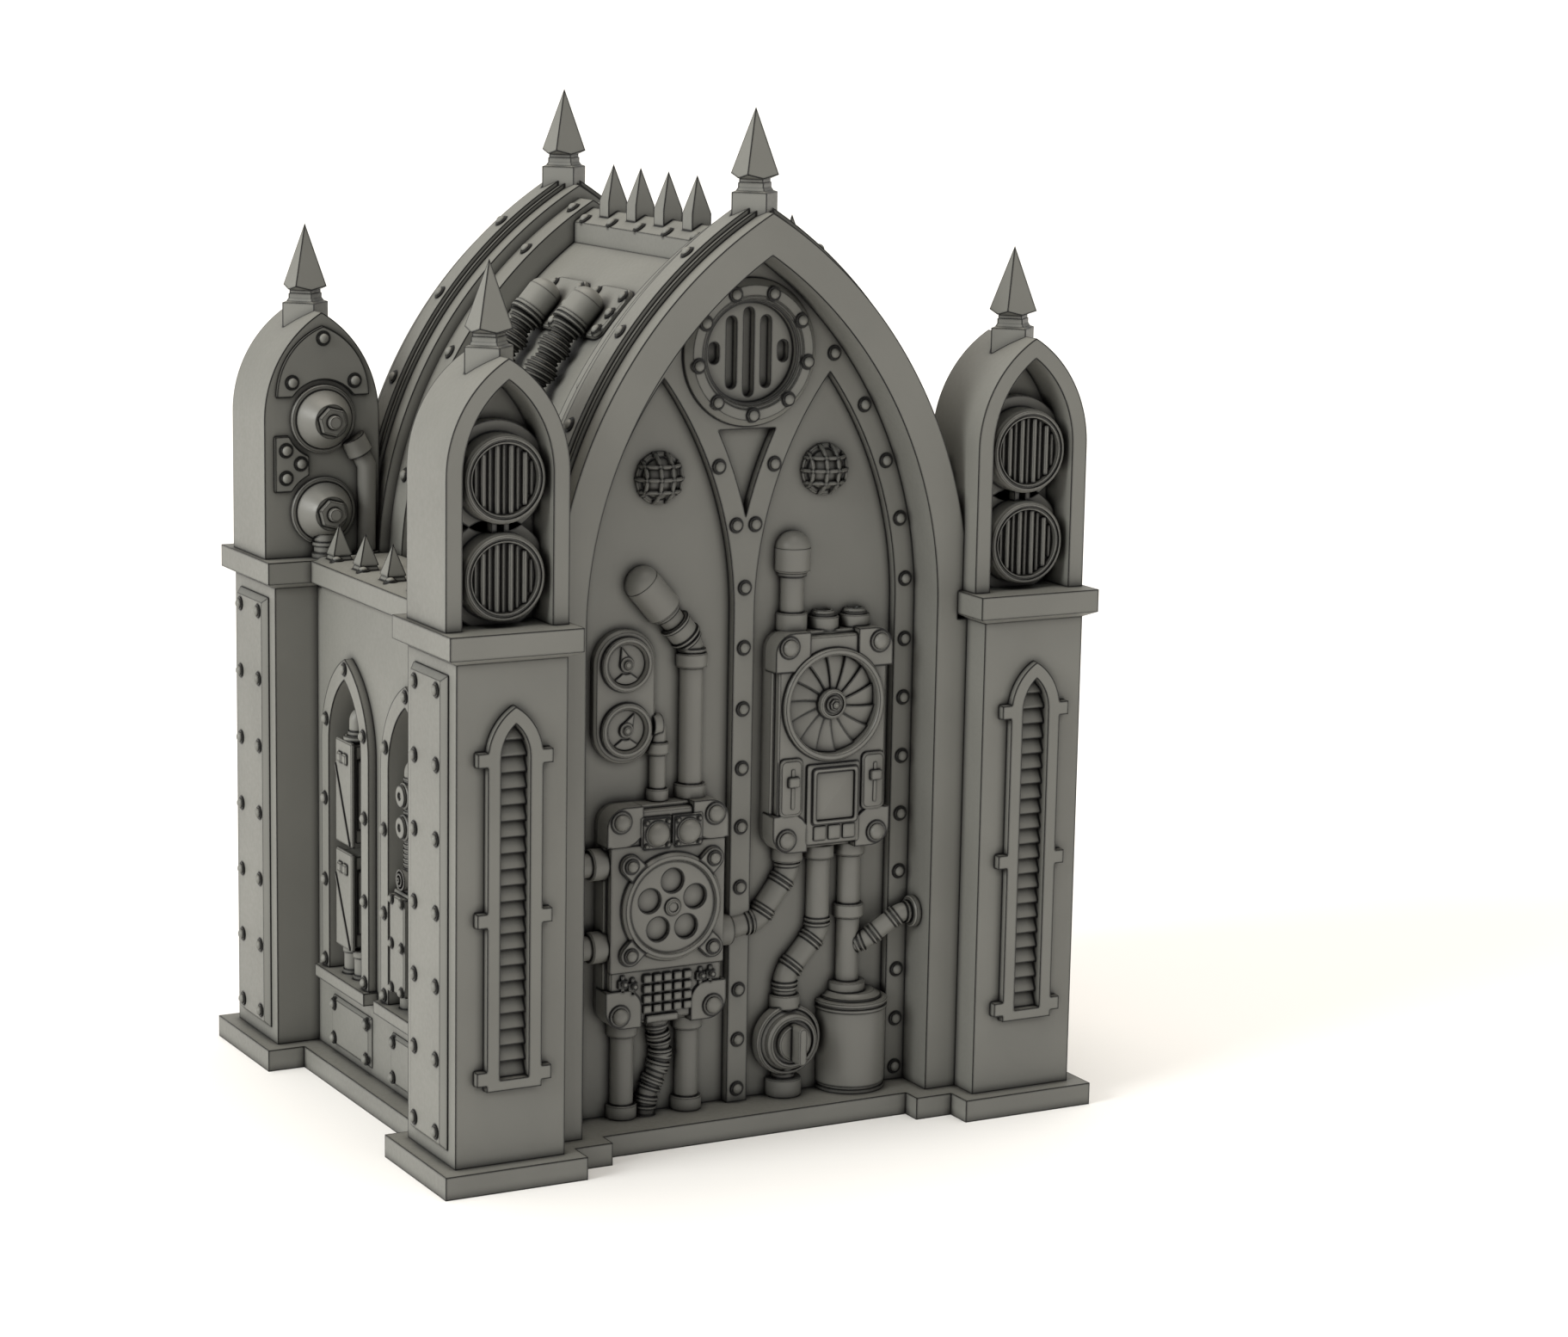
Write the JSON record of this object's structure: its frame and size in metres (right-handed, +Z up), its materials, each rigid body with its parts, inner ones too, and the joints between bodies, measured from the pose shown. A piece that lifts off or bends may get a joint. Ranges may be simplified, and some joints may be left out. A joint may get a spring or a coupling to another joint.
{
  "type": "miniature gothic machine shrine",
  "caption": "Tabletop scenery shrine: hall between two pointed gables, corner piers with pinnacles, spear finials, tracery front set with pipes and cabinets.",
  "frame": {"origin": "centre of the plinth's underside", "axes": "+Z up to the finials, front with the machinery towards -Y, +X to the right seen from the front"},
  "size_m": [0.0632, 0.0536, 0.089],
  "materials": {
    "cast_grey": "satin warm grey casting, darker in the crevices",
    "machine_grey": "satin darker grey casting with worn edges"
  },
  "bodies": {
    "root": {"plinth": "cast_grey", "pier_front_left": "cast_grey", "pier_front_right": "cast_grey", "pier_rear_left": "cast_grey", "pier_rear_right": "cast_grey", "pinnacle_front_left": "cast_grey", "pinnacle_front_right": "cast_grey", "pinnacle_rear_left": "cast_grey", "pinnacle_rear_right": "cast_grey", "finial_front_left": "cast_grey", "finial_front_right": "cast_grey", "finial_rear_left": "cast_grey", "finial_rear_right": "cast_grey", "finial_gable_front": "cast_grey", "finial_gable_rear": "cast_grey", "gable_front": "cast_grey", "gable_rear": "cast_grey", "side_wall_left": "cast_grey", "side_wall_right": "cast_grey", "roof": "cast_grey", "vents_left": "machine_grey", "vents_right": "machine_grey", "upper_insulator_left": "machine_grey", "upper_insulator_right": "machine_grey", "lower_insulator_left": "machine_grey", "lower_insulator_right": "machine_grey", "power_cabinet": "machine_grey", "fan_cabinet": "machine_grey", "gauge_plate": "machine_grey", "horn_pipe": "machine_grey", "cap_pipe": "machine_grey", "drain_pipe_left": "machine_grey", "drain_pipe_right": "machine_grey", "ribbed_hose": "machine_grey", "cross_pipe": "machine_grey", "valve_pipe": "machine_grey", "tank": "machine_grey", "lamp_left": "machine_grey", "lamp_right": "machine_grey"}
  },
  "joints": []
}
